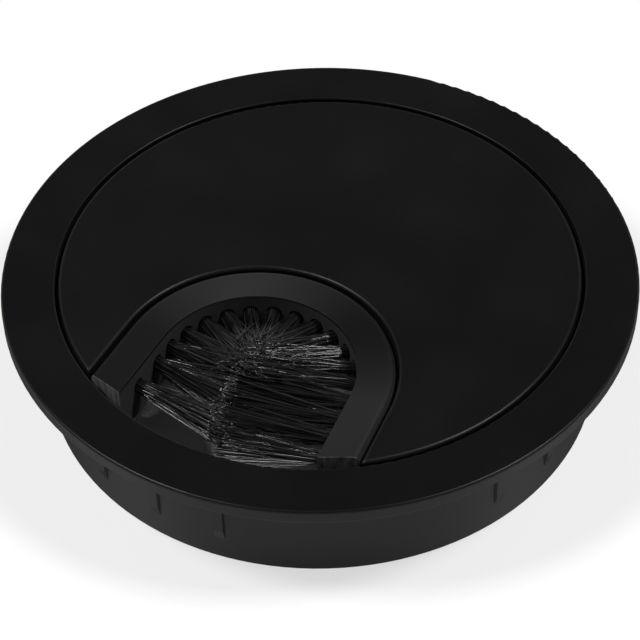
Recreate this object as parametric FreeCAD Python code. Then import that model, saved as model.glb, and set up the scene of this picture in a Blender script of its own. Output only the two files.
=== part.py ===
import FreeCAD, Part
import math
import os

# Brush cable grommet: a flanged liner for a hole in a desk top, a round cover that turns in it,
# and a horseshoe brush block that fills the cover's cable notch. All sizes are in mm, +Z is up,
# the liner's lower rim stands on z = 0 and the cable notch opens toward -Y.

# Liner
DESK_HOLE_DIAMETER = 80.0
FLANGE_DIAMETER = 90.0
FLANGE_THICKNESS = 2.2
LINER_HEIGHT = 18.3
WALL_THICKNESS = 2.25
WALL_CLEARANCE = 0.3
STRAIGHT_WALL_TOP = 4.1
WALL_DRAFT_ANGLE = 0.3
FLANGE_TOP_ROUND = 0.45
FLANGE_UNDER_ROUND = 0.25
BORE_EDGE_ROUND = 0.3
LEDGE_WIDTH = 1.0
LEDGE_THICKNESS = 1.2
RIM_CHAMFER = 0.4

# Crush ribs that bite into the desk hole: groups of them in pairs, either side of one line across the liner
RIBS_IN_GROUP = 3
RIB_PITCH_ANGLE = 14.4
RIB_PAIR_ANGLE = -56.4
RIB_GROUP_SWING_ANGLE = 43.2
RIB_WIDTH = 2.0
RIB_CREST_WIDTH = 1.3
RIB_BITE = 0.05
RIB_LOWER_END = 4.3
RIB_LEAD_IN = 1.7

# Cover
COVER_THICKNESS = 2.2
COVER_EDGE_ROUND = 0.6
SEAM_GAP = 0.5
TURN_CLEARANCE = 0.15
HOOK_COUNT = 3
HOOK_WIDTH = 7.0
HOOK_THICKNESS = 1.3
HOOK_CATCH = 0.6
HOOK_NOSE_HEIGHT = 1.6
HOOK_NOSE_FLAT = 0.55
HOOK_FIRST_ANGLE = 90.0
HOOK_CLEARANCE = 0.3

# Cable notch: a round back and two slightly flared legs, measured on the middle of the gap
NOTCH_ARC_OUT = 21.2
NOTCH_ARC_RADIUS = 19.5
NOTCH_FLARE_ANGLE = 3.0
NOTCH_GAP = 0.5

# Brush block
BLOCK_WIDTH = 5.2
BLOCK_DEPTH = 8.0
BLOCK_OUTER_ROUND = 0.9
BLOCK_INNER_ROUND = 0.15
BLOCK_END_OUT = 35.5
BLOCK_LEFT_CUT_ANGLE = 17.0
BLOCK_RIGHT_CUT_ANGLE = 24.0
TONGUE_WIDTH = 2.2
TONGUE_THICKNESS = 1.5
RAIL_WALL = 1.2
RAIL_LIP = 1.2
RAIL_LIP_REACH = 1.4
RAIL_CLEARANCE = 0.15

# Bristle tufts
TUFT_COUNT = 18
TUFT_LEFT_MARGIN = 5.2
TUFT_RIGHT_MARGIN = 3.6
TUFT_LEFT_EXTRA_GAP = 1.35
TUFT_ARC_SQUEEZE = 0.92
TUFT_DEPTH_BELOW_TOP = 3.1
TUFT_HOLE_DIAMETER = 2.2
TUFT_HOLE_DEPTH = 2.6
TUFT_ROOT_DIAMETER = 1.9
TUFT_SPACING_GAP = 0.08
TUFT_CENTRE_CLEARANCE = 2.6
TUFT_ARC_TIP_HEIGHT = 4.2
TUFT_LEG_TIP_WIDTH = 2.6
TUFT_LEG_TIP_HEIGHT = 2.4
TUFT_MEETING_SHIFT = -1.2
TUFT_MEETING_GAP = 0.8
TUFT_LEAN_ANGLE_LEFT = 5.8
TUFT_LEAN_ANGLE_RIGHT = 10.0
TUFT_OVAL_POINTS = 8

# How far a cutting shape runs past the face it cuts
CUT_MARGIN = 1.0

# Sizes that follow from the ones above
TOP = LINER_HEIGHT
FLANGE_RADIUS = FLANGE_DIAMETER / 2
FLANGE_UNDERSIDE = TOP - FLANGE_THICKNESS
WALL_RADIUS = DESK_HOLE_DIAMETER / 2 - WALL_CLEARANCE
WALL_SPREAD = (FLANGE_UNDERSIDE - STRAIGHT_WALL_TOP) * math.tan(math.radians(WALL_DRAFT_ANGLE))
BORE_RADIUS = WALL_RADIUS - WALL_THICKNESS
LEDGE_RADIUS = BORE_RADIUS - LEDGE_WIDTH
COVER_RADIUS = BORE_RADIUS - SEAM_GAP
COVER_UNDERSIDE = TOP - COVER_THICKNESS
LEDGE_TOP = COVER_UNDERSIDE - TURN_CLEARANCE
LEDGE_BOTTOM = LEDGE_TOP - LEDGE_THICKNESS
UNDER_COVER_RADIUS = LEDGE_RADIUS - HOOK_CLEARANCE
TONGUE_BOTTOM = COVER_UNDERSIDE - TONGUE_THICKNESS
BLOCK_OUTER = -NOTCH_GAP / 2
BLOCK_INNER = BLOCK_OUTER - BLOCK_WIDTH
BRUSH_ARC_RADIUS = NOTCH_ARC_RADIUS + BLOCK_INNER
TUFT_LEVEL = TOP - TUFT_DEPTH_BELOW_TOP
ARC_CENTRE = FreeCAD.Vector(0, -NOTCH_ARC_OUT, 0)
FLARE = math.radians(NOTCH_FLARE_ANGLE)
UP = FreeCAD.Vector(0, 0, 1)

# The tuft row runs along the block's inner wall, from near one leg's end round to the other's.
# The tufts are evenly spaced on the straight strip; bent round the arc, they sit closer on its inside.
LEG_OFF_AXIS = BRUSH_ARC_RADIUS - NOTCH_ARC_OUT * math.sin(FLARE)
LEG_LENGTH = math.sqrt(UNDER_COVER_RADIUS**2 - LEG_OFF_AXIS**2) - NOTCH_ARC_OUT * math.cos(FLARE)
QUARTER_ARC = (math.pi / 2 - FLARE) * BRUSH_ARC_RADIUS
STRIP_QUARTER = QUARTER_ARC / TUFT_ARC_SQUEEZE
TUFT_ROW_START = TUFT_LEFT_MARGIN - LEG_LENGTH - STRIP_QUARTER
TUFT_ROW_END = STRIP_QUARTER + LEG_LENGTH - TUFT_RIGHT_MARGIN
TUFT_PITCH = (TUFT_ROW_END - TUFT_ROW_START - TUFT_LEFT_EXTRA_GAP) / (TUFT_COUNT - 1)


def cylinder(radius, low, high):
    return Part.makeCylinder(radius, high - low, FreeCAD.Vector(0, 0, low))


def turned(profile):
    """Solid of revolution about Z from (radius, height) corners."""
    corners = [FreeCAD.Vector(radius, 0, height) for radius, height in profile]
    face = Part.Face(Part.makePolygon(corners + corners[:1]))
    return face.revolve(FreeCAD.Vector(0, 0, 0), UP, 360)


def round_ring_edge(shape, radius, height, size):
    """Round the full-circle edge of the given radius at the given height."""
    edges = []
    for edge in shape.Edges:
        if not isinstance(edge.Curve, Part.Circle):
            continue
        same_radius = abs(edge.Curve.Radius - radius) < 1e-4
        same_height = abs(edge.Curve.Center.z - height) < 1e-4
        if same_radius and same_height:
            edges.append(edge)
    return shape.makeFillet(size, edges)


def rib(angle):
    """One crush rib: a tapered bar up the wall with a sloped lower end."""
    crest = DESK_HOLE_DIAMETER / 2 + RIB_BITE
    foot = WALL_RADIUS - WALL_THICKNESS / 2
    half_foot = RIB_WIDTH / 2 + (RIB_WIDTH - RIB_CREST_WIDTH) / 2
    half_crest = RIB_CREST_WIDTH / 2
    plan = [(foot, -half_foot), (crest, -half_crest), (crest, half_crest), (foot, half_foot)]
    corners = [FreeCAD.Vector(out, side, RIB_LOWER_END) for out, side in plan]
    bar = Part.Face(Part.makePolygon(corners + corners[:1]))
    bar = bar.extrude(FreeCAD.Vector(0, 0, FLANGE_UNDERSIDE - RIB_LOWER_END))
    beside = -half_foot - CUT_MARGIN
    slope = [
        FreeCAD.Vector(WALL_RADIUS, beside, RIB_LOWER_END),
        FreeCAD.Vector(crest, beside, RIB_LOWER_END + RIB_LEAD_IN),
        FreeCAD.Vector(crest + CUT_MARGIN, beside, RIB_LOWER_END + RIB_LEAD_IN),
        FreeCAD.Vector(crest + CUT_MARGIN, beside, RIB_LOWER_END - CUT_MARGIN),
        FreeCAD.Vector(WALL_RADIUS, beside, RIB_LOWER_END - CUT_MARGIN),
    ]
    wedge = Part.Face(Part.makePolygon(slope + slope[:1]))
    bar = bar.cut(wedge.extrude(FreeCAD.Vector(0, -2 * beside, 0)))
    bar.rotate(FreeCAD.Vector(0, 0, 0), UP, angle)
    return bar


def make_liner():
    """Flange, wall, inner ledge and crush ribs in one moulding."""
    body = turned([
        (BORE_RADIUS, 0),
        (WALL_RADIUS - RIM_CHAMFER, 0),
        (WALL_RADIUS, RIM_CHAMFER),
        (WALL_RADIUS, STRAIGHT_WALL_TOP),
        (WALL_RADIUS + WALL_SPREAD, FLANGE_UNDERSIDE),
        (FLANGE_RADIUS, FLANGE_UNDERSIDE),
        (FLANGE_RADIUS, TOP),
        (BORE_RADIUS, TOP),
        (BORE_RADIUS, LEDGE_TOP),
        (LEDGE_RADIUS, LEDGE_TOP),
        (LEDGE_RADIUS, LEDGE_BOTTOM),
        (BORE_RADIUS, LEDGE_BOTTOM),
    ])
    body = round_ring_edge(body, FLANGE_RADIUS, TOP, FLANGE_TOP_ROUND)
    body = round_ring_edge(body, FLANGE_RADIUS, FLANGE_UNDERSIDE, FLANGE_UNDER_ROUND)
    body = round_ring_edge(body, BORE_RADIUS, TOP, BORE_EDGE_ROUND)
    ribs = []
    for pair_angle in (RIB_PAIR_ANGLE, RIB_PAIR_ANGLE + 180):
        for swing in (-RIB_GROUP_SWING_ANGLE, RIB_GROUP_SWING_ANGLE):
            for place in range(RIBS_IN_GROUP):
                step = place - (RIBS_IN_GROUP - 1) / 2
                ribs.append(rib(pair_angle + swing + step * RIB_PITCH_ANGLE))
    return body.fuse(ribs).removeSplitter()


def notch_region(offset, low, high):
    """The notch outline grown by offset, run out past the rim and extruded from low to high."""
    radius = NOTCH_ARC_RADIUS + offset
    run_out = FLANGE_DIAMETER
    right = ARC_CENTRE + FreeCAD.Vector(radius * math.cos(FLARE), radius * math.sin(FLARE), 0)
    left = FreeCAD.Vector(-right.x, right.y, 0)
    back = ARC_CENTRE + FreeCAD.Vector(0, radius, 0)
    right_end = right + FreeCAD.Vector(run_out * math.sin(FLARE), -run_out * math.cos(FLARE), 0)
    left_end = FreeCAD.Vector(-right_end.x, right_end.y, 0)
    edges = [
        Part.makeLine(right_end, right),
        Part.Arc(right, back, left).toShape(),
        Part.makeLine(left, left_end),
        Part.makeLine(left_end, right_end),
    ]
    face = Part.Face(Part.Wire(edges))
    face.translate(FreeCAD.Vector(0, 0, low))
    return face.extrude(FreeCAD.Vector(0, 0, high - low))


def notch_band(inner, outer, low, high, rim_radius):
    """Horseshoe between two offsets of the notch outline, ended by the given radius from the axis."""
    band = notch_region(outer, low, high).cut(notch_region(inner, low, high))
    return band.common(cylinder(rim_radius, low, high))


def round_top_edges(shape, size):
    """Round every edge that lies in the top plane."""
    edges = []
    for edge in shape.Edges:
        if all(abs(vertex.Z - TOP) < 1e-6 for vertex in edge.Vertexes):
            edges.append(edge)
    return shape.makeFillet(size, edges)


def outline_offset(point):
    """How far a point lies outside the notch outline; negative inside."""
    from_centre = FreeCAD.Vector(abs(point.x), point.y - ARC_CENTRE.y, 0)
    past_arc = from_centre.x * math.sin(FLARE) - from_centre.y * math.cos(FLARE)
    if past_arc > 0:
        return from_centre.x * math.cos(FLARE) + from_centre.y * math.sin(FLARE) - NOTCH_ARC_RADIUS
    return from_centre.Length - NOTCH_ARC_RADIUS


def round_block_edges(shape, offset, size):
    """Round the block's top edges that follow the notch outline at the given offset."""
    edges = []
    for edge in shape.Edges:
        middle = edge.valueAt((edge.FirstParameter + edge.LastParameter) / 2)
        on_line = abs(outline_offset(middle) - offset) < 1e-4
        if on_line and all(abs(vertex.Z - TOP) < 1e-6 for vertex in edge.Vertexes):
            edges.append(edge)
    return shape.makeFillet(size, edges)


def snap_hook(angle):
    """Springy arm under the cover whose nose sits below the liner's ledge."""
    outside = UNDER_COVER_RADIUS
    inside = outside - HOOK_THICKNESS
    catch = LEDGE_RADIUS + HOOK_CATCH
    nose_top = LEDGE_BOTTOM - TURN_CLEARANCE
    nose_bottom = nose_top - HOOK_NOSE_HEIGHT
    arm = turned([
        (inside, COVER_UNDERSIDE),
        (inside, nose_bottom),
        (outside, nose_bottom),
        (catch, nose_top - HOOK_NOSE_FLAT),
        (catch, nose_top),
        (outside, nose_top),
        (outside, COVER_UNDERSIDE),
    ])
    corner = FreeCAD.Vector(0, -HOOK_WIDTH / 2, nose_bottom)
    slab = Part.makeBox(FLANGE_RADIUS, HOOK_WIDTH, TOP - nose_bottom, corner)
    slab.rotate(FreeCAD.Vector(0, 0, 0), UP, angle)
    return arm.common(slab)


def make_cover():
    """Round plate with the cable notch, a rail round the notch for the brush block and snap hooks."""
    plate = cylinder(COVER_RADIUS, COVER_UNDERSIDE, TOP)
    plate = plate.cut(notch_region(NOTCH_GAP / 2, COVER_UNDERSIDE - CUT_MARGIN, TOP + CUT_MARGIN))
    plate = round_top_edges(plate, COVER_EDGE_ROUND)
    tongue_edge = BLOCK_OUTER + TONGUE_WIDTH
    rail_inner = tongue_edge + RAIL_CLEARANCE
    rail_outer = rail_inner + RAIL_WALL
    lip_bottom = TONGUE_BOTTOM - RAIL_LIP
    lip_inner = rail_inner - RAIL_LIP_REACH
    rail = notch_band(rail_inner, rail_outer, TONGUE_BOTTOM, COVER_UNDERSIDE, UNDER_COVER_RADIUS)
    lip = notch_band(lip_inner, rail_outer, lip_bottom, TONGUE_BOTTOM, UNDER_COVER_RADIUS)
    hooks = [snap_hook(HOOK_FIRST_ANGLE + 360.0 / HOOK_COUNT * place) for place in range(HOOK_COUNT)]
    return plate.fuse([rail, lip] + hooks).removeSplitter()


def tuft_station(place):
    """Root point on the block's inner wall, inward direction and distance down a leg for one tuft."""
    on_strip = TUFT_ROW_START + place * TUFT_PITCH
    if place > 0:
        on_strip += TUFT_LEFT_EXTRA_GAP
    side = 1 if on_strip > 0 else -1
    down_leg = max(0.0, abs(on_strip) - STRIP_QUARTER)
    turn = min(abs(on_strip), STRIP_QUARTER) * TUFT_ARC_SQUEEZE / BRUSH_ARC_RADIUS
    outward = FreeCAD.Vector(side * math.sin(turn), math.cos(turn), 0)
    leg = FreeCAD.Vector(side * math.sin(FLARE), -math.cos(FLARE), 0)
    point = ARC_CENTRE + outward * BRUSH_ARC_RADIUS + leg * down_leg
    point.z = TUFT_LEVEL
    return point, outward * -1, down_leg, side


def tuft_hole(place):
    point, inward, down_leg, side = tuft_station(place)
    start = point - inward * TUFT_HOLE_DEPTH
    return Part.makeCylinder(TUFT_HOLE_DIAMETER / 2, TUFT_HOLE_DEPTH + CUT_MARGIN, start, inward)


def saw_waste(angle):
    """What a straight saw cut takes off a leg's end; the angle turns the cut from square to the notch."""
    corner = FreeCAD.Vector(-FLANGE_RADIUS, -BLOCK_END_OUT - FLANGE_RADIUS, 0)
    waste = Part.makeBox(FLANGE_DIAMETER, FLANGE_RADIUS, TOP + CUT_MARGIN, corner)
    waste.rotate(FreeCAD.Vector(0, 0, 0), UP, angle)
    return waste


def make_brush_block():
    """Horseshoe with a tongue that slides into the cover's rail and a row of blind tuft holes."""
    bottom = TOP - BLOCK_DEPTH
    waste = [saw_waste(-BLOCK_LEFT_CUT_ANGLE), saw_waste(BLOCK_RIGHT_CUT_ANGLE)]
    upper = notch_band(BLOCK_INNER, BLOCK_OUTER, COVER_UNDERSIDE, TOP, COVER_RADIUS)
    lower = notch_band(BLOCK_INNER, BLOCK_OUTER, bottom, COVER_UNDERSIDE, UNDER_COVER_RADIUS)
    body = upper.fuse(lower).removeSplitter().cut(waste)
    body = round_block_edges(body, BLOCK_OUTER, BLOCK_OUTER_ROUND)
    body = round_block_edges(body, BLOCK_INNER, BLOCK_INNER_ROUND)
    tongue_edge = BLOCK_OUTER + TONGUE_WIDTH
    middle = (BLOCK_INNER + BLOCK_OUTER) / 2
    tongue = notch_band(middle, tongue_edge, TONGUE_BOTTOM, COVER_UNDERSIDE, UNDER_COVER_RADIUS)
    body = body.fuse(tongue.cut(waste)).removeSplitter()
    return body.cut([tuft_hole(place) for place in range(TUFT_COUNT)])


def tuft_section(centre, along, width, height):
    """Closed oval across the tuft: width is level, height is upright."""
    level = UP.cross(along)
    points = []
    for corner in range(TUFT_OVAL_POINTS):
        turn = 2 * math.pi * corner / TUFT_OVAL_POINTS
        across = level * (width / 2 * math.cos(turn))
        points.append(centre + across + UP * (height / 2 * math.sin(turn)))
    oval = Part.BSplineCurve()
    oval.interpolate(Points=points, PeriodicFlag=True)
    return Part.Wire([oval.toShape()])


def sector_width(from_centre):
    """Room for one tuft of the arc at a distance from the arc's centre."""
    half_angle = TUFT_PITCH * TUFT_ARC_SQUEEZE / BRUSH_ARC_RADIUS / 2
    return 2 * from_centre * math.tan(half_angle) - TUFT_SPACING_GAP


def arc_tuft_stretches(point, inward):
    """Sections of a tuft of the arc: squeezed in plan by its neighbours, so it stands taller."""
    free = BRUSH_ARC_RADIUS - TUFT_CENTRE_CLEARANCE
    middle_left = BRUSH_ARC_RADIUS - free / 2
    middle_width = min(TUFT_ROOT_DIAMETER, sector_width(middle_left))
    middle_height = (TUFT_ROOT_DIAMETER + TUFT_ARC_TIP_HEIGHT) / 2
    tip_width = sector_width(TUFT_CENTRE_CLEARANCE)
    return [
        (point + inward * (free / 2), inward, middle_width, middle_height),
        (point + inward * free, inward, tip_width, TUFT_ARC_TIP_HEIGHT),
    ]


def leg_tuft_stretches(point, inward, down_leg, side):
    """Sections of a tuft of a leg: it leans toward the opening and spreads level to the middle line."""
    lean_most = TUFT_LEAN_ANGLE_RIGHT if side > 0 else TUFT_LEAN_ANGLE_LEFT
    first, last = tuft_station(0)[2], tuft_station(TUFT_COUNT - 1)[2]
    longest = last if side > 0 else first
    lean = math.radians(lean_most * down_leg / longest)
    leg = FreeCAD.Vector(side * math.sin(FLARE), -math.cos(FLARE), 0)
    along = inward * math.cos(lean) + leg * math.sin(lean)
    meeting = TUFT_MEETING_SHIFT + side * TUFT_MEETING_GAP / 2
    free = (meeting - point.x) / along.x
    return [(point + along * free, along, TUFT_LEG_TIP_WIDTH, TUFT_LEG_TIP_HEIGHT)]


def make_tuft(place):
    """One tuft of bristles: a round root seated in its hole and a fan toward the cable space."""
    point, inward, down_leg, side = tuft_station(place)
    root = point - inward * TUFT_HOLE_DEPTH
    if down_leg < TUFT_PITCH / 2:
        stretches = arc_tuft_stretches(point, inward)
    else:
        stretches = leg_tuft_stretches(point, inward, down_leg, side)
    stretches = [
        (root, inward, TUFT_ROOT_DIAMETER, TUFT_ROOT_DIAMETER),
        (point, inward, TUFT_ROOT_DIAMETER, TUFT_ROOT_DIAMETER),
    ] + stretches
    sections = [tuft_section(*stretch) for stretch in stretches]
    return Part.makeLoft(sections, True, True)


def main():
    os.makedirs("parts", exist_ok=True)
    make_liner().exportStep("parts/liner.step")
    make_cover().exportStep("parts/cover.step")
    make_brush_block().exportStep("parts/brush_block.step")
    for place in range(TUFT_COUNT):
        make_tuft(place).exportStep("parts/tuft_%02d.step" % (place + 1))


main()
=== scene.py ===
import math
import random
from collections import namedtuple

import bpy
from mathutils import Matrix, Vector


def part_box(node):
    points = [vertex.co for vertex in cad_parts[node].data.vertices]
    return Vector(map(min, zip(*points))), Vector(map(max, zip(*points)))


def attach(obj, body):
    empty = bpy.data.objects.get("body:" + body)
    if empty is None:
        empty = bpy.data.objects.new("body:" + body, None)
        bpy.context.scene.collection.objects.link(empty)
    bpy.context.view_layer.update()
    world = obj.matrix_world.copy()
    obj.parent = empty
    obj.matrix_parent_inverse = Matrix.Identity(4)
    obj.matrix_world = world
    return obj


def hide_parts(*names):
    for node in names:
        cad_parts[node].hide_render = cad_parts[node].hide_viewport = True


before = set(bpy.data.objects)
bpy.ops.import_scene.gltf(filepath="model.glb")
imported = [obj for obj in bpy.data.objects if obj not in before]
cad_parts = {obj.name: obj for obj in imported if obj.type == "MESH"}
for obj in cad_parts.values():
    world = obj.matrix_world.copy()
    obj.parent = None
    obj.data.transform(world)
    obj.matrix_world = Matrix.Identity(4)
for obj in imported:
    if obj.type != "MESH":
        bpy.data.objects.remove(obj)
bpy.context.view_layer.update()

# Looks of the brush cable grommet: black moulded liner and cover, a smoother brush block with sawn
# ends, and a fan of nylon bristles from every tuft hole. Lengths are in metres.

MM = 0.001
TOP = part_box("liner")[1][2]
UP = Vector((0, 0, 1))

# Camera, as read from the photograph
IMAGE_PIXELS = 640
FOCAL_PIXELS = 2467
SENSOR_WIDTH_MM = 36.0
VIEW_AZIMUTH = 26.1
VIEW_ELEVATION = 45.12
VIEW_ROLL = 1.58
VIEW_DISTANCE = 341.4 * MM
AIM_POINT = Vector((4.33 * MM, -9.14 * MM, TOP))
NEAR_CLIP = 10 * MM

# Floor and room: how far the floor is lifted to white outside the liner and inside it, the even light of the
# room, and how high the white backdrop reaches before it fades and ends, as the sine of an angle
FLOOR_HALF_WIDTH = 3.0
FLOOR_GREY = 0.9
FLOOR_ROUGHNESS = 0.9
FLOOR_LIFT = 0.65
FLOOR_LIFT_INSIDE = 0.008
ROOM_LIGHT = 0.08
BACKDROP_FADE = math.sin(math.radians(12.0))
BACKDROP_END = math.sin(math.radians(27.0))

# Two softboxes: their direction as shares to the front, to the side and up, then distance, size and watts
LAMP_FRONT = 0.07
LAMP_SIDE = 0.52
LAMP_UP = 0.85
LAMP_DISTANCE = 1.0
LAMP_SIZE = 0.22
LAMP_POWER = 6.5

# Rounded edges of the liner and the cover, the same sizes as in the solids
FLANGE_RADIUS = 45.0 * MM
FLANGE_ROUND = 0.45 * MM
BORE_RADIUS = 37.45 * MM
BORE_ROUND = 0.3 * MM
SEAM_GAP = 0.5 * MM
COVER_RADIUS = BORE_RADIUS - SEAM_GAP
COVER_ROUND = 0.6 * MM

# Strip beside each edge of the flange that takes that edge's rounding, the least rise of a rounding's normal,
# and how many times its depth a layer at the top takes to fade out
EDGE_STRIP = 2.0 * MM
LEAST_RISE = 0.001 * MM
TOP_LAYER_FADE = 1.3

# Cable notch, measured on the middle of its gap, and the brush block in it, the same sizes as in the solids
ARC_OUT = 21.2 * MM
GAP_ARC_RADIUS = 19.5 * MM
NOTCH_GAP = 0.5 * MM
NOTCH_RADIUS = GAP_ARC_RADIUS + NOTCH_GAP / 2
BLOCK_WIDTH = 5.2 * MM
ARC_RADIUS = GAP_ARC_RADIUS - NOTCH_GAP / 2 - BLOCK_WIDTH
FLARE = math.radians(3.0)
LEG_END_RADIUS = 36.15 * MM
SAW_CUT_OUT = 35.5 * MM
SAW_CUT_ANGLES = (-17.0, 24.0)
SAW_CUT_INSET = 0.12 * MM
SAW_CUT_FULL_INSET = 0.02 * MM

# Row of tuft holes, the same sizes as in the solids: evenly spaced on the straight strip, and closer on the
# inside of the arc, round which the strip is bent
TUFT_COUNT = 18
ROW_LEFT_MARGIN = 5.2 * MM
ROW_RIGHT_MARGIN = 3.6 * MM
ROW_LEFT_EXTRA_GAP = 1.35 * MM
ROW_ARC_SQUEEZE = 0.92
HOLE_LEVEL = TOP - 3.1 * MM
ARC_CENTRE = Vector((0, -ARC_OUT, HOLE_LEVEL))
LEG_OFF_AXIS = ARC_RADIUS - ARC_OUT * math.sin(FLARE)
LEG_LENGTH = math.sqrt(LEG_END_RADIUS**2 - LEG_OFF_AXIS**2) - ARC_OUT * math.cos(FLARE)
STRIP_QUARTER = (math.pi / 2 - FLARE) * ARC_RADIUS / ROW_ARC_SQUEEZE
ROW_START = ROW_LEFT_MARGIN - LEG_LENGTH - STRIP_QUARTER
ROW_END = STRIP_QUARTER + LEG_LENGTH - ROW_RIGHT_MARGIN
ROW_PITCH = (ROW_END - ROW_START - ROW_LEFT_EXTRA_GAP) / (TUFT_COUNT - 1)

# Moulded plastic: darkest and lightest grey, roughness and its unevenness, and depth of the grain
LINER_GREYS = (0.0025, 0.004)
LINER_ROUGHNESS = 0.36
COVER_GREYS = (0.0028, 0.0042)
COVER_ROUGHNESS = 0.38
ROUGHNESS_SWING = 0.03
GLANCING_ROUGHNESS = 0.8
PLASTIC_SPECULAR = 0.165
GRAIN_DEPTH = 0.01 * MM

# Brush block: grey of its top where a painted sheen is weakest and strongest, how that painted sheen and
# shade comes and goes round it, and the looks of its walls, painted lighter as painted light, of its sawn
# ends, pale partly as painted light, and of a painted band of light on one of them
# Greys and waves of a painted sheen and shade on the block's top, lighter or darker round the horseshoe as
# light falls on it
BLOCK_DARK = 0.002
BLOCK_PAINTED_SHEEN = 0.019
PAINTED_SHEEN_WAVES = 2.5
PAINTED_SHEEN_SHIFT = 1.35
BLOCK_TOP_DEPTH = 0.4 * MM
# the walls' grey is painted lighter than the top's, as painted light on them
BLOCK_WALL_PAINTED_LIGHT = 0.03
BLOCK_ROUGHNESS = 0.55
BLOCK_SPECULAR = 0.13
# pale cut faces: partly the sawn plastic's own paleness, partly painted light on the end faces
SAWN_PALENESS_AND_PAINTED_LIGHT = 0.16
SAWN_ROUGHNESS = 0.8
SAWN_RELIEF = 0.06 * MM
# grey and depth of a painted band of light along the top of the left cut's face
PAINTED_LIT_BAND_GREY = 0.12
PAINTED_LIT_BAND_DEPTH = 0.65 * MM

# Nylon: darkest and lightest bristle and how far the greys lean to the dark, smoothest and roughest bristle,
# and grey of the cut ends
NYLON_GREYS = (0.002, 0.02)
NYLON_DARK_LEAN = 1.5
NYLON_ROUGHNESS = (0.08, 0.18)
NYLON_CUT_GREY = 0.018
NYLON_SPECULAR = 0.7
NYLON_RELIEF = 0.001 * MM

# Bristles: size, number, and how they sit in the hole
BRISTLES_IN_TUFT = 120
BRISTLE_DIAMETER = 0.165 * MM
BRISTLE_TIP_SHARE = 0.8
BRISTLE_SIDES = 5
BRISTLE_STEPS = 11
ROOT_SPREAD = 0.93 * MM
ROOT_DROP = 0.15 * MM
ROOT_DEPTH = 2.3 * MM
GOLDEN_ANGLE = 2.39996
FIRST_SEED = 100

# Tufts further than this along the wall from the middle of the back belong to the sides
SIDE_TUFT_START = 19.0 * MM

# Tousled mound where the tufts round the back end: its place and spread, how it follows each tuft, how far a
# tip stays back and sinks, the size of a tuft there, and how straight and curled its bristles are
MOUND = ARC_CENTRE + Vector((-1.1, 3.6, 3.1)) * MM
MOUND_SPREAD = 0.65 * MM
MOUND_PULL = 0.35
MOUND_RIGHT_LIFT = 0.8 * MM
MOUND_STAY_BACK = (-0.8 * MM, 1.8 * MM)
MOUND_SINK = (0.1 * MM, 1.7 * MM)
MOUND_TUFT_WIDTH = 1.0 * MM
MOUND_TUFT_HEIGHT = 0.6 * MM
MOUND_STRAIGHT = 0.6
MOUND_CURL = (0.03, 0.15)

# A few bristles stand off the mound in any direction, and some run on past it
WILD_SHARE = 0.03
WILD_REACH = 2.5 * MM
WILD_RISE = 0.5 * MM
STRAY_SHARE = 0.07
STRAY_REACH = (0.5 * MM, 5.0 * MM)
STRAY_RISE = (-0.8 * MM, 0.2 * MM)
STRAY_TURN_UP = (-0.1, 0.3)

# Seam where the tufts of the two sides meet, and how unevenly their bristles reach it
SEAM_START_X = -2.0 * MM
SEAM_SLOPE = -0.13
SEAM_UNDERLAP = 1.2 * MM
SEAM_FRAY = 0.3 * MM
TIP_SCATTER = 0.34
HEADING_SCATTER = 0.012
GUIDE_SCATTER = 0.03 * MM
SIDE_STRAIGHT = 0.35
SIDE_EASE = 0.33

# Fan of a side tuft at the seam: how far it leans to the opening and falls, its half width, its twist, and
# how much its lower bristles droop
Fan = namedtuple("Fan", "lean fall half_width twist droop")
LEFT_FAN = Fan(lean=2.4 * MM, fall=-0.2 * MM, half_width=2.3 * MM, twist=0.0, droop=1.0)
RIGHT_FAN = Fan(lean=2.4 * MM, fall=0.0, half_width=2.3 * MM, twist=0.0, droop=1.0)
LEFT_LOWEST_FAN = Fan(lean=2.25 * MM, fall=-0.3 * MM, half_width=1.7 * MM, twist=0.25, droop=0.2)
RIGHT_LOWEST_FAN = Fan(lean=1.1 * MM, fall=1.15 * MM, half_width=1.8 * MM, twist=0.4, droop=0.9)

# The lower bristles of a tuft spread wider and hang lower, so they close the gaps between the tufts
UNDER_SPREAD = 0.8
UNDER_FALL = 1.0 * MM
UNDER_LEAN = 1.6 * MM


def add_object(name, data):
    """New object in the scene for a mesh, a lamp or a camera."""
    thing = bpy.data.objects.new(name, data)
    bpy.context.collection.objects.link(thing)
    return thing


def look_camera():
    """Camera at the photograph's angle, with its slight roll."""
    azimuth = math.radians(VIEW_AZIMUTH)
    elevation = math.radians(VIEW_ELEVATION)
    level = math.cos(elevation)
    back = Vector((math.sin(azimuth) * level, -math.cos(azimuth) * level, math.sin(elevation)))
    right = UP.cross(back).normalized()
    up = back.cross(right)
    turn = Matrix((right, up, back)).transposed().to_4x4()
    roll = Matrix.Rotation(math.radians(-VIEW_ROLL), 4, "Z")
    data = bpy.data.cameras.new("photo_camera")
    data.sensor_width = SENSOR_WIDTH_MM
    data.lens = FOCAL_PIXELS / IMAGE_PIXELS * SENSOR_WIDTH_MM
    data.clip_start = NEAR_CLIP
    camera = add_object("photo_camera", data)
    camera.matrix_world = Matrix.Translation(AIM_POINT + back * VIEW_DISTANCE) @ turn @ roll
    bpy.context.scene.camera = camera


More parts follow.
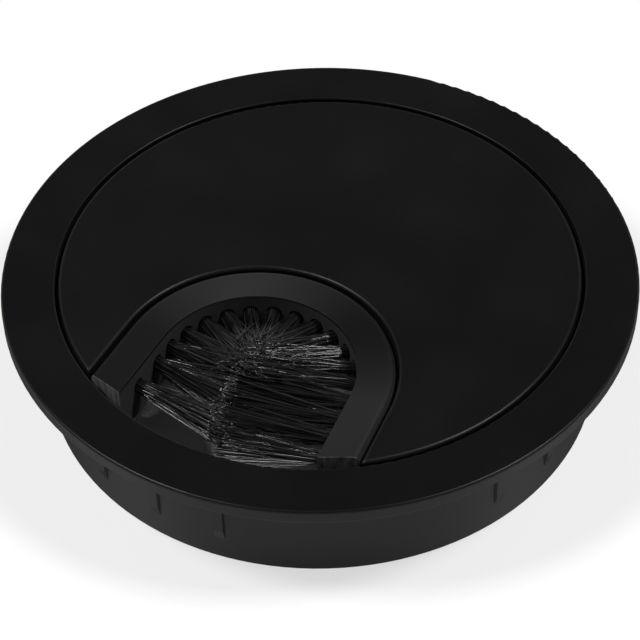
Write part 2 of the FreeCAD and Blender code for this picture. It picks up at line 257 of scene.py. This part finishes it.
class Nodes:
    """Short helper round the node tree of one new material, or of the world."""

    def __init__(self, name, family=bpy.data.materials):
        self.owner = family.new(name)
        self.owner.use_nodes = True
        self.tree = self.owner.node_tree
        self.shader = self.tree.nodes.get("Principled BSDF")

    def add(self, kind, **inputs):
        node = self.tree.nodes.new(kind)
        for name, value in inputs.items():
            node.inputs[name.replace("_", " ")].default_value = value
        return node

    def link(self, start, end):
        self.tree.links.new(start, end)

    def fill(self, node, values):
        """Give a node's inputs, in their order, sockets or plain values."""
        for socket, value in zip(node.inputs, values):
            if isinstance(value, bpy.types.NodeSocket):
                self.link(value, socket)
            else:
                socket.default_value = value
        return node

    def position(self):
        return self.add("ShaderNodeTexCoord").outputs["Object"]

    def noise(self, scale, detail, stretch=(1, 1, 1)):
        texture = self.add("ShaderNodeTexNoise", Scale=scale, Detail=detail)
        mapping = self.add("ShaderNodeMapping", Scale=stretch)
        self.link(self.position(), mapping.inputs["Vector"])
        self.link(mapping.outputs["Vector"], texture.inputs["Vector"])
        return texture.outputs["Fac"]

    def span(self, value, from_low, from_high, low=0.0, high=1.0):
        """Value carried over from one range to another, and held at its ends."""
        node = self.add("ShaderNodeMapRange", From_Min=from_low, From_Max=from_high, To_Min=low, To_Max=high)
        self.link(value, node.inputs["Value"])
        return node.outputs["Result"]

    def tint(self, value, dark, light):
        return self.mix("RGBA", "Color", value, dark, light)

    def mix(self, data_type, kind, value, low, high):
        """Mix two colours or vectors, each a socket or a plain value."""
        node = self.add("ShaderNodeMix")
        node.data_type = data_type
        ends = {socket.identifier: socket for socket in node.inputs}
        for end, given in (("A_" + kind, low), ("B_" + kind, high)):
            if isinstance(given, bpy.types.NodeSocket):
                self.link(given, ends[end])
            else:
                ends[end].default_value = given
        self.link(value, ends["Factor_Float"])
        return [socket for socket in node.outputs if socket.identifier == "Result_" + kind][0]

    def bump(self, height, distance, strength, below=None):
        node = self.add("ShaderNodeBump", Strength=strength, Distance=distance)
        self.link(height, node.inputs["Height"])
        if below:
            self.link(below, node.inputs["Normal"])
        return node.outputs["Normal"]

    def reckon(self, operation, *values):
        """Scalar arithmetic on sockets or plain numbers."""
        node = self.add("ShaderNodeMath")
        node.operation = operation
        return self.fill(node, values).outputs[0]

    def product(self, one, other):
        return self.reckon("MULTIPLY", one, other)

    def larger(self, one, other):
        return self.reckon("MAXIMUM", one, other)

    def past(self, value, start):
        """How far a value lies past a start, 0 before it."""
        return self.larger(self.reckon("SUBTRACT", value, start), 0.0)

    def short_of(self, value, end):
        """How far a value falls short of an end, 0 after it."""
        return self.larger(self.reckon("SUBTRACT", end, value), 0.0)

    def vector(self, operation, *values):
        """Vector arithmetic on sockets or plain vectors; lengths and dot products come out as numbers."""
        node = self.add("ShaderNodeVectorMath")
        node.operation = operation
        self.fill(node, values)
        return node.outputs["Value" if operation in ("LENGTH", "DOT_PRODUCT") else "Vector"]

    def times(self, vector, factor):
        """Vector, a socket or a plain one, times a number's socket."""
        node = self.add("ShaderNodeVectorMath")
        node.operation = "SCALE"
        self.fill(node, [vector])
        self.link(factor, node.inputs["Scale"])
        return node.outputs["Vector"]

    def toward(self, level, amount):
        """Level vector of the given length in the direction of another."""
        return self.times(self.vector("NORMALIZE", level), amount)

    def height(self):
        parts = self.add("ShaderNodeSeparateXYZ")
        self.link(self.position(), parts.inputs["Vector"])
        return parts.outputs["Z"]

    def near_top(self, depth):
        """1 within the given depth below the top plane, fading out below it."""
        return self.span(self.height(), TOP - TOP_LAYER_FADE * depth, TOP - depth)

    def from_axis(self):
        """Level vector from the part's upright axis to the point."""
        return self.vector("MULTIPLY", self.position(), (1, 1, 0))

    def from_notch(self):
        """Level vector from the nearest point of the notch's middle line to the point."""
        level = self.vector("SUBTRACT", self.from_axis(), (0, -ARC_OUT, 0))
        folded = self.vector("MULTIPLY", self.vector("ABSOLUTE", level), (1, 0, 0))
        folded = self.vector("ADD", folded, self.vector("MULTIPLY", level, (0, 1, 0)))
        leg = (math.sin(FLARE), -math.cos(FLARE), 0)
        down_leg = self.larger(self.vector("DOT_PRODUCT", folded, leg), 0.0)
        across = self.vector("SUBTRACT", folded, self.times(leg, down_leg))
        side = self.vector("MULTIPLY", self.vector("SIGN", level), (1, 0, 0))
        return self.vector("MULTIPLY", across, self.vector("ADD", side, (0, 1, 1)))

    def rounded(self, outward, start):
        """True normal of a rounded top edge, from its outward lean and the height where it starts."""
        rise = self.larger(self.reckon("SUBTRACT", self.height(), start), LEAST_RISE)
        upright = self.times((0, 0, 1), rise)
        turn = self.add("ShaderNodeVectorTransform")
        turn.vector_type = "NORMAL"
        turn.convert_from = "OBJECT"
        turn.convert_to = "WORLD"
        self.link(self.vector("NORMALIZE", self.vector("ADD", outward, upright)), turn.inputs["Vector"])
        plain = self.add("ShaderNodeNewGeometry").outputs["Normal"]
        above = self.reckon("GREATER_THAN", self.height(), start)
        return self.mix("VECTOR", "Vector", above, plain, turn.outputs["Vector"])

    def beyond_saw_cut(self, angle):
        """1 on the face that a saw cut leaves on a leg's end, 0 elsewhere."""
        turn = math.radians(angle)
        out = self.vector("DOT_PRODUCT", self.position(), (math.sin(turn), -math.cos(turn), 0))
        return self.span(out, SAW_CUT_OUT - SAW_CUT_INSET, SAW_CUT_OUT - SAW_CUT_FULL_INSET)

    def painted_sheen(self):
        """Painted sheen and shade round the horseshoe, standing in for how light falls on the top: toward 1
        at the back left and along the right leg, else toward 0.
        """
        parts = self.add("ShaderNodeSeparateXYZ")
        self.link(self.from_notch(), parts.inputs["Vector"])
        turn = self.reckon("ARCTAN2", parts.outputs["X"], parts.outputs["Y"])
        wave = self.reckon("COSINE", self.reckon("MULTIPLY_ADD", turn, PAINTED_SHEEN_WAVES, PAINTED_SHEEN_SHIFT))
        return self.span(wave, -1.0, 1.0)

    def seen(self):
        """1 for a ray from the camera or one that a glossy or clear surface sends on, 0 for others."""
        path = self.add("ShaderNodeLightPath").outputs
        sent_on = self.larger(path["Is Glossy Ray"], path["Is Transmission Ray"])
        return self.larger(path["Is Camera Ray"], sent_on)

    def grazing(self):
        """0 where a surface faces the eye, toward 1 at a glancing angle."""
        return self.add("ShaderNodeLayerWeight").outputs["Facing"]

    def finish(self, colour, roughness, normal, specular):
        self.shader.inputs["Specular IOR Level"].default_value = specular
        self.link(colour, self.shader.inputs["Base Color"])
        self.link(roughness, self.shader.inputs["Roughness"])
        self.link(normal, self.shader.inputs["Normal"])
        return self.owner


def grey(value):
    return (value, value, value, 1.0)


def moulded_plastic(nodes, greys, roughness, rounding):
    """Black moulded plastic: faintly cloudy, with a fine grain and uneven gloss, dull at a glancing angle."""
    dark, light = greys
    clouds = nodes.noise(scale=70.0, detail=4.0)
    grain = nodes.noise(scale=5000.0, detail=2.0)
    colour = nodes.tint(nodes.span(clouds, 0.35, 0.65), grey(dark), grey(light))
    uneven = nodes.span(clouds, 0.3, 0.7, roughness - ROUGHNESS_SWING, roughness + ROUGHNESS_SWING)
    dull = nodes.span(nodes.grazing(), 0.5, 0.8, roughness, GLANCING_ROUGHNESS)
    normal = nodes.bump(grain, GRAIN_DEPTH, strength=0.5, below=rounding)
    return nodes.finish(colour, nodes.larger(uneven, dull), normal, PLASTIC_SPECULAR)


def liner_plastic():
    """The liner's plastic, with smooth rounded edges on the flange and the bore."""
    nodes = Nodes("liner_plastic")
    level = nodes.from_axis()
    radius = nodes.vector("LENGTH", level)
    rim_lean = nodes.past(radius, FLANGE_RADIUS - FLANGE_ROUND)
    bore_lean = nodes.short_of(radius, BORE_RADIUS + BORE_ROUND)
    outward = nodes.toward(level, nodes.reckon("SUBTRACT", rim_lean, bore_lean))
    near_bore = BORE_RADIUS + EDGE_STRIP
    near_rim = FLANGE_RADIUS - EDGE_STRIP
    start = nodes.span(radius, near_bore, near_rim, TOP - BORE_ROUND, TOP - FLANGE_ROUND)
    return moulded_plastic(nodes, LINER_GREYS, LINER_ROUGHNESS, nodes.rounded(outward, start))


def cover_plastic():
    """The cover's plastic, with smooth rounded edges on its rim and round the notch."""
    nodes = Nodes("cover_plastic")
    level = nodes.from_axis()
    rim_lean = nodes.past(nodes.vector("LENGTH", level), COVER_RADIUS - COVER_ROUND)
    notch = nodes.from_notch()
    notch_lean = nodes.short_of(nodes.vector("LENGTH", notch), NOTCH_RADIUS + COVER_ROUND)
    outward = nodes.vector("SUBTRACT", nodes.toward(level, rim_lean), nodes.toward(notch, notch_lean))
    rounding = nodes.rounded(outward, TOP - COVER_ROUND)
    return moulded_plastic(nodes, COVER_GREYS, COVER_ROUGHNESS, rounding)


def block_plastic():
    """Matte dark plastic, ragged and pale where the legs are sawn off, partly as painted light; its top has a
    painted sheen and shade round the horseshoe, its walls are painted lighter, and one cut's top edge has a
    painted band of light.
    """
    nodes = Nodes("block_plastic")
    clouds = nodes.noise(scale=90.0, detail=4.0)
    grain = nodes.noise(scale=4000.0, detail=2.0)
    streaks = nodes.noise(scale=1800.0, detail=4.0, stretch=(1, 1, 0.3))
    left_end, right_end = [nodes.beyond_saw_cut(angle) for angle in SAW_CUT_ANGLES]
    ragged = nodes.product(nodes.larger(left_end, right_end), streaks)
    # painted light: a pale band along the top of the left cut's face, where light reaches into the gap
    lit_band_painted = nodes.product(nodes.product(left_end, streaks), nodes.near_top(PAINTED_LIT_BAND_DEPTH))
    # painted sheen and shade: the top's grey swings round the horseshoe to stand in for light on it
    sheen_painted = nodes.product(nodes.painted_sheen(), nodes.span(clouds, 0.3, 0.7, 0.85, 1.15))
    top = nodes.tint(sheen_painted, grey(BLOCK_DARK), grey(BLOCK_PAINTED_SHEEN))
    # painted light: the walls below the top layer get a lighter grey than the top
    plain = nodes.tint(nodes.near_top(BLOCK_TOP_DEPTH), grey(BLOCK_WALL_PAINTED_LIGHT), top)
    # pale streaks on the cut faces, partly their own colour and partly painted light
    sawn = nodes.tint(nodes.span(ragged, 0.3, 0.7), plain, grey(SAWN_PALENESS_AND_PAINTED_LIGHT))
    # the painted band of light on the left cut's top edge
    colour = nodes.tint(nodes.span(lit_band_painted, 0.25, 0.7), sawn, grey(PAINTED_LIT_BAND_GREY))
    gloss = nodes.span(ragged, 0.0, 0.5, BLOCK_ROUGHNESS, SAWN_ROUGHNESS)
    soft = nodes.bump(grain, GRAIN_DEPTH, strength=0.5)
    normal = nodes.bump(ragged, SAWN_RELIEF, strength=0.6, below=soft)
    return nodes.finish(colour, gloss, normal, BLOCK_SPECULAR)


def bristle_nylon():
    """Black drawn nylon: smooth and shiny, each bristle a little different, with a dull cut tip."""
    nodes = Nodes("bristle_nylon")
    dark, light = NYLON_GREYS
    smooth, rough = NYLON_ROUGHNESS
    each = nodes.add("ShaderNodeNewGeometry").outputs["Random Per Island"]
    fine = nodes.noise(scale=3000.0, detail=2.0)
    tip = nodes.add("ShaderNodeAttribute")
    tip.attribute_name = "tip"
    cut = nodes.span(tip.outputs["Fac"], 0.3, 0.9)
    body = nodes.tint(nodes.reckon("POWER", each, NYLON_DARK_LEAN), grey(dark), grey(light))
    colour = nodes.tint(cut, body, grey(NYLON_CUT_GREY))
    gloss = nodes.larger(nodes.span(each, 0.0, 1.0, smooth, rough), cut)
    return nodes.finish(colour, gloss, nodes.bump(fine, NYLON_RELIEF, strength=0.3), NYLON_SPECULAR)


def paint(node, material):
    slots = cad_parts[node].data.materials
    if len(slots) == 0:
        slots.append(material)
    for place in range(len(slots)):
        slots[place] = material


class Station:
    """Root of one tuft on the block's inner wall."""

    def __init__(self, place):
        on_strip = ROW_START + place * ROW_PITCH
        if place > 0:
            on_strip += ROW_LEFT_EXTRA_GAP
        self.side = 1 if on_strip > 0 else -1
        down_leg = max(0.0, abs(on_strip) - STRIP_QUARTER)
        round_arc = min(abs(on_strip), STRIP_QUARTER) * ROW_ARC_SQUEEZE
        turn = round_arc / ARC_RADIUS
        outward = Vector((self.side * math.sin(turn), math.cos(turn), 0))
        leg = Vector((self.side * math.sin(FLARE), -math.cos(FLARE), 0))
        self.root = ARC_CENTRE + outward * ARC_RADIUS + leg * down_leg
        self.inward = -outward
        self.level = UP.cross(self.inward)
        self.of_side = round_arc + down_leg > SIDE_TUFT_START
        self.fan = RIGHT_FAN if self.side > 0 else LEFT_FAN
        if place == 0:
            self.fan = LEFT_LOWEST_FAN
        if place == TUFT_COUNT - 1:
            self.fan = RIGHT_LOWEST_FAN

    def mouth(self, across, high):
        """Place of one bristle in the hole's mouth, from its level and upright place in the bundle."""
        return self.root + (self.level * across + UP * high) * ROOT_SPREAD - UP * ROOT_DROP


def mound_tip(rng, station, across, high):
    """Tip in the mound, and the way the bristle points there: curled up in any direction."""
    aim = MOUND + Vector((0, MOUND_PULL * (station.root.y - ARC_CENTRE.y - ARC_RADIUS), 0))
    out = Vector((station.root.x - aim.x, station.root.y - aim.y, 0)).normalized()
    if rng.random() < STRAY_SHARE:
        tip = aim - out * rng.uniform(*STRAY_REACH) * abs(out.x) + UP * rng.uniform(*STRAY_RISE)
        return tip, (-out + UP * rng.uniform(*STRAY_TURN_UP)).normalized()
    tip = aim + out * rng.uniform(*MOUND_STAY_BACK) + station.level * across * MOUND_TUFT_WIDTH
    tip += Vector((rng.gauss(0, MOUND_SPREAD), rng.gauss(0, MOUND_SPREAD), 0))
    tip.z += MOUND_TUFT_HEIGHT * high - rng.uniform(*MOUND_SINK) + MOUND_RIGHT_LIFT * max(0.0, out.x)
    turn = rng.uniform(0, 2 * math.pi)
    if rng.random() < WILD_SHARE:
        tip += Vector((math.sin(turn), math.cos(turn), 0)) * WILD_REACH + UP * WILD_RISE
    heading = Vector((math.cos(turn), math.sin(turn), rng.uniform(0.0, 1.0)))
    return tip, heading.normalized()


def seam_tip(rng, station, across, high):
    """Tip on the seam where the two sides' bristles meet, and the way the bristle points there."""
    fan = station.fan
    under = max(0.0, -high) * fan.droop
    back = station.level.y * across * (1 + UNDER_SPREAD * under)
    along_seam = station.root.y - ARC_CENTRE.y - fan.lean - UNDER_LEAN * under
    along_seam += (back + rng.gauss(0, TIP_SCATTER)) * fan.half_width
    tip = ARC_CENTRE + Vector((SEAM_START_X + SEAM_SLOPE * along_seam, along_seam, 0))
    tip.z += (high + fan.twist * back + rng.gauss(0, TIP_SCATTER)) * fan.half_width
    tip.z -= fan.fall + UNDER_FALL * under
    tip.x += rng.gauss(0, SEAM_FRAY)
    if fan == RIGHT_FAN:
        tip.x -= SEAM_UNDERLAP
        tip.z -= SEAM_UNDERLAP / 2
    heading = (tip - station.mouth(across, high)).normalized()
    heading += Vector((0, rng.gauss(0, HEADING_SCATTER), rng.gauss(0, HEADING_SCATTER)))
    return tip, heading.normalized()


def bristle_path(station, rng, number):
    """Points along one bristle: straight out of the hole, then an easy bend to its tip."""
    turn = number * GOLDEN_ANGLE
    out = math.sqrt((number + 0.5) / BRISTLES_IN_TUFT)
    across, high = out * math.cos(turn), out * math.sin(turn)
    wall = station.mouth(across, high)
    if station.of_side:
        tip, heading = seam_tip(rng, station, across, high)
        straight, bend = SIDE_STRAIGHT, SIDE_EASE
    else:
        tip, heading = mound_tip(rng, station, across, high)
        straight, bend = MOUND_STRAIGHT, rng.uniform(*MOUND_CURL)
    way = tip - wall
    scatter = Vector((rng.gauss(0, 1), rng.gauss(0, 1), rng.gauss(0, 1))) * GUIDE_SCATTER
    guide = wall + way * straight + scatter
    guide_end = tip - heading * way.length * bend
    points = [wall - station.inward * ROOT_DEPTH]
    for step in range(BRISTLE_STEPS):
        t = step / (BRISTLE_STEPS - 1)
        u = 1 - t
        points.append(wall * u**3 + guide * (3 * u * u * t) + guide_end * (3 * u * t * t) + tip * t**3)
    return points


def add_tube(points, verts, faces):
    """Thin round tube along the points, closed at both ends."""
    first = len(verts)
    last = len(points) - 1
    for place, point in enumerate(points):
        ahead = (points[min(place + 1, last)] - points[max(place - 1, 0)]).normalized()
        side = ahead.cross(UP).normalized()
        over = side.cross(ahead)
        share = 1 - (1 - BRISTLE_TIP_SHARE) * place / last
        radius = BRISTLE_DIAMETER / 2 * share
        for corner in range(BRISTLE_SIDES):
            turn = 2 * math.pi * corner / BRISTLE_SIDES
            verts.append(point + (side * math.cos(turn) + over * math.sin(turn)) * radius)
    for place in range(last):
        ring = first + place * BRISTLE_SIDES
        above = ring + BRISTLE_SIDES
        for corner in range(BRISTLE_SIDES):
            after = (corner + 1) % BRISTLE_SIDES
            faces.append((ring + corner, ring + after, above + after, above + corner))
    faces.append(tuple(first + corner for corner in reversed(range(BRISTLE_SIDES))))
    faces.append(tuple(first + last * BRISTLE_SIDES + corner for corner in range(BRISTLE_SIDES)))


def make_tuft(place, material):
    """All the bristles of one tuft as one mesh, in the place of its plain solid."""
    rng = random.Random(FIRST_SEED + place)
    station = Station(place)
    verts = []
    faces = []
    for number in range(BRISTLES_IN_TUFT):
        add_tube(bristle_path(station, rng, number), verts, faces)
    mesh = bpy.data.meshes.new("bristles_%02d" % (place + 1))
    mesh.from_pydata(verts, [], faces)
    mesh.polygons.foreach_set("use_smooth", [len(face) == 4 for face in faces])
    tube = [0.0] * (BRISTLE_STEPS * BRISTLE_SIDES) + [1.0] * BRISTLE_SIDES
    mesh.attributes.new("tip", "FLOAT", "POINT").data.foreach_set("value", tube * BRISTLES_IN_TUFT)
    mesh.materials.append(material)
    tuft = add_object(mesh.name, mesh)
    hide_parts("tuft_%02d" % (place + 1))
    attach(tuft, "turning_cover")


def floor_white():
    """Pale floor, lifted toward white outside the liner where it is seen; part of its shadow stays."""
    nodes = Nodes("floor_white")
    nodes.shader.inputs["Base Color"].default_value = grey(FLOOR_GREY)
    nodes.shader.inputs["Roughness"].default_value = FLOOR_ROUGHNESS
    outside = nodes.reckon("GREATER_THAN", nodes.vector("LENGTH", nodes.from_axis()), BORE_RADIUS)
    lift = nodes.larger(nodes.product(outside, FLOOR_LIFT), FLOOR_LIFT_INSIDE)
    glow = nodes.add("ShaderNodeEmission", Color=grey(1.0), Strength=1.0)
    mix = nodes.add("ShaderNodeMixShader")
    nodes.link(nodes.product(nodes.seen(), lift), mix.inputs[0])
    nodes.link(nodes.shader.outputs[0], mix.inputs[1])
    nodes.link(glow.outputs[0], mix.inputs[2])
    nodes.link(mix.outputs[0], nodes.tree.nodes["Material Output"].inputs["Surface"])
    return nodes.owner


def make_floor():
    """Plain pale floor under the liner's rim."""
    half = FLOOR_HALF_WIDTH
    corners = [(-half, -half, 0), (half, -half, 0), (half, half, 0), (-half, half, 0)]
    mesh = bpy.data.meshes.new("floor")
    mesh.from_pydata(corners, [], [(0, 1, 2, 3)])
    mesh.materials.append(floor_white())
    floor = add_object("floor", mesh)


def make_world():
    """Dim room, with a white backdrop low down all round that is seen directly and in reflections."""
    nodes = Nodes("studio", bpy.data.worlds)
    direction = nodes.add("ShaderNodeSeparateXYZ")
    nodes.link(nodes.add("ShaderNodeTexCoord").outputs["Generated"], direction.inputs["Vector"])
    backdrop = nodes.span(direction.outputs["Z"], BACKDROP_END, BACKDROP_FADE)
    background = nodes.tree.nodes["Background"]
    background.inputs["Color"].default_value = grey(1.0)
    strength = nodes.larger(nodes.product(nodes.seen(), backdrop), ROOM_LIGHT)
    nodes.link(strength, background.inputs["Strength"])
    bpy.context.scene.world = nodes.owner


def softbox(name, toward):
    """Square softbox in the given direction from the part, aimed at it."""
    back = toward.normalized()
    data = bpy.data.lights.new(name, "AREA")
    data.size = LAMP_SIZE
    data.energy = LAMP_POWER
    lamp = add_object(name, data)
    turn = back.to_track_quat("Z", "Y").to_matrix().to_4x4()
    lamp.matrix_world = Matrix.Translation(back * LAMP_DISTANCE) @ turn


def make_light():
    """Two softboxes, left and right of the camera and above it."""
    azimuth = math.radians(VIEW_AZIMUTH)
    front = Vector((math.sin(azimuth), -math.cos(azimuth), 0))
    right = Vector((math.cos(azimuth), math.sin(azimuth), 0))
    for name, side in (("left_softbox", -1), ("right_softbox", 1)):
        softbox(name, front * LAMP_FRONT + right * side * LAMP_SIDE + UP * LAMP_UP)
    bpy.context.scene.view_settings.view_transform = "Standard"


def main():
    look_camera()
    paint("liner", liner_plastic())
    paint("cover", cover_plastic())
    paint("brush_block", block_plastic())
    bristle = bristle_nylon()
    for place in range(TUFT_COUNT):
        make_tuft(place, bristle)
    make_floor()
    make_world()
    make_light()


main()
